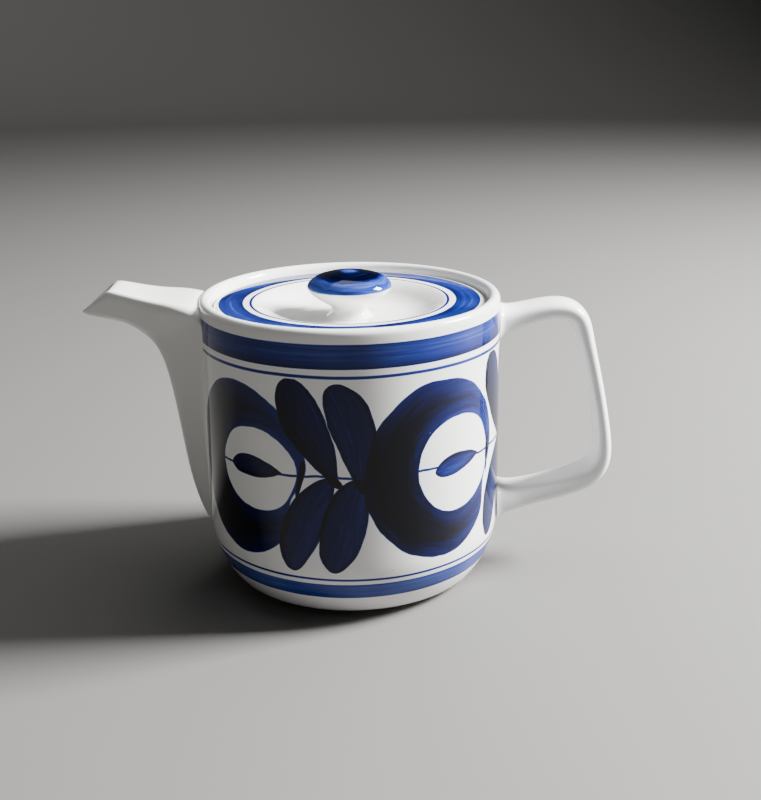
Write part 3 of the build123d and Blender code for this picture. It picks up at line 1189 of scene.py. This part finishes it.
@dataclass
class Handle:
    """The strap handle: rounded sections along a bent centre line, flared where they join the wall.

    A strap station is its centre's x and z, its thickness and its half width in millimetres. A root
    station has its distance from the pot's wall in place of x.
    """

    pot: Pot
    section_sides: int = 28
    squareness: float = 2.5
    root_gap: float = 0.05
    root_dive: float = 0.6
    top_root: tuple[tuple[float, float, float, float], ...] = (
        (0.0, 104.2, 17.6, 12.4),
        (0.25, 104.3, 15.6, 11.2),
        (1.4, 104.6, 12.8, 9.8),
        (3.4, 105.3, 10.7, 9.0),
    )
    strap: tuple[tuple[float, float, float, float], ...] = (
        (67.5, 106.4, 9.2, 8.7),
        (73.0, 107.8, 8.4, 8.5),
        (79.5, 109.1, 8.2, 8.5),
        (85.2, 109.3, 8.3, 8.5),
        (89.9, 107.9, 8.5, 8.5),
        (92.9, 104.2, 8.2, 8.5),
        (94.6, 98.1, 7.2, 8.5),
        (96.7, 90.0, 6.6, 8.5),
        (99.2, 80.0, 6.4, 8.5),
        (101.4, 69.5, 6.4, 8.5),
        (103.2, 59.0, 6.7, 8.5),
        (104.2, 50.5, 7.3, 8.5),
        (103.6, 43.9, 8.4, 8.5),
        (101.0, 39.2, 9.4, 8.6),
        (96.6, 36.2, 10.0, 8.7),
        (90.5, 34.0, 10.0, 8.8),
        (83.0, 32.0, 10.0, 9.0),
        (75.5, 30.3, 9.7, 9.2),
        (69.5, 29.0, 10.1, 9.5),
    )
    low_root: tuple[tuple[float, float, float, float], ...] = (
        (4.8, 28.0, 11.1, 9.9),
        (2.0, 27.5, 13.8, 10.7),
        (0.35, 27.1, 17.0, 12.0),
        (0.0, 26.8, 19.2, 13.2),
    )

    def section(
        self, bm: bmesh.types.BMesh, centre: Pair, along: Vector, thickness: float, half_width: float
    ) -> list[bmesh.types.BMVert]:
        """Adds one section of the strap.

        Args:
            bm: The mesh to add to.
            centre: Its centre's x and z in millimetres.
            along: The centre line's direction there.
            thickness: Its full thickness in millimetres.
            half_width: Half its width in millimetres.

        Returns:
            The section's vertices in order.
        """
        across, outwards = Vector((0, 1, 0)), along.cross(Vector((0, 1, 0)))
        turned = Matrix((across, outwards, along)).transposed().to_4x4()
        ring = bmesh.ops.create_circle(bm, cap_ends=False, radius=1.0, segments=self.section_sides)["verts"]
        power = 2 / self.squareness
        for vert in ring:
            flat, thick = vert.co.x, vert.co.y
            flat = abs(flat) ** power * (half_width if flat > 0 else -half_width)
            thick = abs(thick) ** power * (thickness / 2 if thick > 0 else -thickness / 2)
            vert.co = (turned @ Vector((flat, thick, 0)) + Vector((centre[0], 0, centre[1]))) * MM
        return ring

    def root_section(
        self, bm: bmesh.types.BMesh, station: tuple[float, float, float, float], sink: float
    ) -> list[bmesh.types.BMVert]:
        """Adds a section that follows the pot's wall.

        Args:
            bm: The mesh to add to.
            station: Distance from the wall, centre height, thickness and half width in millimetres.
            sink: Millimetres below the wall's surface.

        Returns:
            The section's vertices in order.
        """
        gap, height, thickness, half_width = station
        ring = self.section(bm, (self.pot.radius, height), Vector((1, 0, 0)), thickness, half_width)
        for vert in ring:
            radius = self.pot.outside_radius(vert.co.z / MM) + gap - sink
            turn = asin(vert.co.y / MM / self.pot.radius)
            vert.co = Vector((cos(turn) * radius * MM, sin(turn) * radius * MM, vert.co.z))
        return ring

    def build(self) -> bpy.types.Object:
        """Makes the handle.

        Returns:
            The piece.
        """
        bm = bmesh.new()
        first, last = self.top_root[0], self.low_root[-1]
        rings = [self.root_section(bm, first, self.root_dive)]
        rings += [self.root_section(bm, s, -self.root_gap) for s in self.top_root[1:]]
        centres = [Vector((s[0], 0, s[1])) for s in self.strap]
        for place, (x, z, thickness, half_width) in enumerate(self.strap):
            before, after = centres[max(place - 1, 0)], centres[min(place + 1, len(centres) - 1)]
            along = (after - before).normalized()
            rings.append(self.section(bm, (x, z), along, thickness, half_width))
        low = [self.root_section(bm, s, -self.root_gap) for s in self.low_root[:-1]]
        low.append(self.root_section(bm, last, self.root_dive))
        rings += low
        bridge_chains(bm, rings, closed=True)
        bmesh.ops.contextual_create(bm, geom=rings[0])
        bmesh.ops.contextual_create(bm, geom=rings[-1])
        bmesh.ops.recalc_face_normals(bm, faces=bm.faces)
        piece = finish_piece("strap_handle", bm, 2)
        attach(piece, "pot")
        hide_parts("handle")
        return piece

    def dress(self, piece: bpy.types.Object, finish: bpy.types.Material) -> None:
        """Gives the handle its plain glaze."""
        piece.data.materials.append(finish)


@dataclass
class Lid:
    """The dished lid: a flat border that lies in the seat, and a flange that keeps it in when pouring."""

    radius: float = 54.2
    top: float = 114.4
    seat: float = 110.4
    dish_floor: float = 107.8
    dish_floor_radius: float = 22.0
    dish_radius: float = 38.0
    shell: float = 4.0
    flange_radius: float = 47.2
    flange_wall: float = 3.0
    flange_bottom: float = 100.8
    steps: int = 96

    def outline(self) -> Outline:
        """Draws the lid's profile.

        Returns:
            The profile, from the middle of the dish round to the middle of the underside.
        """
        inner = self.flange_radius - self.flange_wall
        outline = Outline(0, self.dish_floor).run(self.dish_floor_radius, self.dish_floor, 3)
        outline.turn(31.0, 110.2, 28, 2).turn(self.dish_radius, self.top - 0.15, -18, 2)
        outline.turn(self.dish_radius + 1.6, self.top, -22, 1).run(self.radius - 1.5, self.top, 4)
        outline.turn(self.radius, self.top - 1.5, -88, 2).run(self.radius, self.seat + 0.5, 1)
        outline.turn(self.radius - 0.5, self.seat, -88, 1).run(self.flange_radius + 0.6, self.seat, 1)
        outline.turn(self.flange_radius, self.seat - 0.6, 80, 1)
        outline.run(self.flange_radius, self.flange_bottom + 1.0, 2)
        outline.turn(self.flange_radius - 1.0, self.flange_bottom, -88, 2)
        outline.run(inner + 1.0, self.flange_bottom).turn(inner, self.flange_bottom + 1.0, -88, 2)
        outline.run(inner, self.seat - 2.0, 2).turn(inner - 1.6, self.seat - 0.3, 80, 1)
        outline.run(self.dish_radius + 0.8, self.seat - 0.4, 1)
        outline.turn(27.0, self.dish_floor - self.shell + 1.1, 20, 2)
        outline.turn(22.0, self.dish_floor - self.shell, -20, 1).run(0, self.dish_floor - self.shell, 3)
        return outline

    def build(self) -> bpy.types.Object:
        """Makes the lid.

        Returns:
            The piece.
        """
        piece = finish_piece("dished_lid", spin_outline(self.outline(), self.steps), 2)
        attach(piece, "lid")
        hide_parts("lid")
        return piece

    def dress(self, piece: bpy.types.Object, porcelain: Porcelain) -> None:
        """Gives the lid its painted glaze."""
        piece.data.materials.append(porcelain.fire("painted lid glaze", LidPainting().lay, False))


@dataclass
class Knob:
    """The mushroom knob on its short flared stem."""

    lid: Lid
    stem_radius: float = 7.1
    cap_radius: float = 17.1
    cap_widest: float = 120.2
    top: float = 125.9
    steps: int = 64

    def outline(self) -> Outline:
        """Draws the knob's profile.

        Returns:
            The profile, from the middle of the cap round to the middle of the stem's foot.
        """
        foot = self.lid.dish_floor
        rise = self.top - self.cap_widest
        outline = Outline(0, self.top).turn(self.cap_radius * 0.68, self.cap_widest + rise * 0.72, -20, 3)
        outline.turn(self.cap_radius, self.cap_widest, -52, 3).turn(15.6, 117.5, -38, 2)
        outline.turn(12.2, 115.0, -6, 1).turn(8.8, 112.9, 6, 1).turn(self.stem_radius, 111.4, 34, 1)
        outline.run(self.stem_radius, 110.2).turn(8.3, foot + 0.8, 34, 1).turn(10.0, foot - 0.1, 42, 1)
        outline.run(0, foot - 0.1, 1)
        return outline

    def build(self) -> bpy.types.Object:
        """Makes the knob.

        Returns:
            The piece.
        """
        piece = finish_piece("mushroom_knob", spin_outline(self.outline(), self.steps), 2)
        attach(piece, "lid")
        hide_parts("lid_knob")
        return piece

    def dress(self, piece: bpy.types.Object, porcelain: Porcelain) -> None:
        """Gives the knob its painted glaze."""
        piece.data.materials.append(porcelain.fire("painted knob glaze", KnobPainting().lay, False))


@dataclass(frozen=True)
class SoftBox:
    """A soft box light: where it hangs and its width and height in metres, and its power in watts."""

    name: str
    place: tuple[float, float, float]
    size: Pair
    power: float

    def hang(self, aim: Vector) -> None:
        """Hangs the light.

        Args:
            aim: The point it faces.
        """
        data = bpy.data.lights.new(self.name, "AREA")
        data.shape = "RECTANGLE"
        data.size, data.size_y = self.size
        data.energy = self.power
        lamp = bpy.data.objects.new(self.name, data)
        lamp.location = self.place
        lamp.rotation_euler = (aim - Vector(self.place)).to_track_quat("-Z", "Y").to_euler()
        bpy.context.scene.collection.objects.link(lamp)


@dataclass
class Studio:
    """The floor, the lights and the camera. The floor's sizes are millimetres and the rest are metres."""

    floor_radius: float = 2200.0
    sweep_radius: float = 900.0
    sweep_height: float = 3000.0
    floor_colour: Colour = (0.135, 0.132, 0.127, 1.0)
    floor_roughness: float = 0.7
    air_colour: Colour = (0.86, 0.88, 0.92, 1.0)
    air_strength: float = 0.07
    window: SoftBox = SoftBox("window", (1.06, 0.12, 0.78), (0.36, 0.48), 145.0)
    ceiling: SoftBox = SoftBox("ceiling", (0.15, 0.25, 1.1), (1.1, 0.9), 7.0)
    aim: tuple[float, float, float] = (0.0, 0.0, 0.06)
    sensor_width: float = 36.0
    focal_length: float = 51.75
    eye: tuple[float, float, float] = (0.0, -0.448734, 0.2217582)
    yaw: float = 0.0261
    dip: float = 0.3229
    roll: float = -0.0155

    def lay_floor(self) -> None:
        """Lays the pale floor, which sweeps up into a wall all round."""
        wall = self.floor_radius + self.sweep_radius
        outline = Outline(0, 0).run(self.floor_radius, 0, 3)
        outline.turn(wall, self.sweep_radius, 90, 15).run(wall, self.sweep_height)
        bm = spin_outline(outline, 96)
        for face in bm.faces:
            face.smooth = True
        mesh = bpy.data.meshes.new("floor")
        bm.to_mesh(mesh)
        bm.free()
        floor = bpy.data.objects.new("floor", mesh)
        bpy.context.scene.collection.objects.link(floor)
        sheet = NodeSheet("pale floor")
        shader = {"Base Color": self.floor_colour, "Roughness": self.floor_roughness}
        principled = sheet.signal("ShaderNodeBsdfPrincipled", {}, shader, "BSDF")
        sheet.node("ShaderNodeOutputMaterial", {}, {"Surface": principled})
        mesh.materials.append(sheet.material)

    def light(self) -> None:
        """Lights the room: a window-like soft box on the right, a weak one overhead, and dim air."""
        world = bpy.data.worlds.new("studio air")
        world.use_nodes = True
        air = world.node_tree.nodes["Background"]
        air.inputs["Color"].default_value = self.air_colour
        air.inputs["Strength"].default_value = self.air_strength
        bpy.context.scene.world = world
        for box in (self.window, self.ceiling):
            box.hang(Vector(self.aim))

    def set_camera(self) -> None:
        """Stands the camera in front of the pot and a little above it."""
        forward = Vector((sin(self.yaw) * cos(self.dip), cos(self.yaw) * cos(self.dip), -sin(self.dip)))
        level_right = Vector((cos(self.yaw), -sin(self.yaw), 0))
        level_up = level_right.cross(forward)
        right = level_right * cos(self.roll) + level_up * sin(self.roll)
        up = level_up * cos(self.roll) - level_right * sin(self.roll)
        data = bpy.data.cameras.new("camera")
        data.sensor_width = self.sensor_width
        data.lens = self.focal_length
        data.clip_start = 0.01
        camera = bpy.data.objects.new("camera", data)
        turned = Matrix((right, up, -forward)).transposed().to_4x4()
        camera.matrix_world = Matrix.Translation(self.eye) @ turned
        bpy.context.scene.collection.objects.link(camera)
        bpy.context.scene.camera = camera

    def build(self) -> None:
        """Sets the whole studio up."""
        self.lay_floor()
        self.light()
        self.set_camera()


def main() -> None:
    """Builds the pieces in order, dresses them and sets the studio up."""
    logging.basicConfig(level=logging.INFO, format="%(name)s: %(message)s")
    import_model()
    porcelain = Porcelain()
    plain = porcelain.fire("plain glaze", None, False)

    pot, lid = Pot(), Lid()
    dressings = (
        (pot, porcelain),
        (Spout(pot), plain),
        (Handle(pot), plain),
        (lid, porcelain),
        (Knob(lid), porcelain),
    )
    for sub_assembly, finish in dressings:
        piece = sub_assembly.build()
        sub_assembly.dress(piece, finish)
        journal.info("%s: %d faces before its modifiers", piece.name, len(piece.data.polygons))

    Studio().build()


if __name__ == "__main__":
    main()
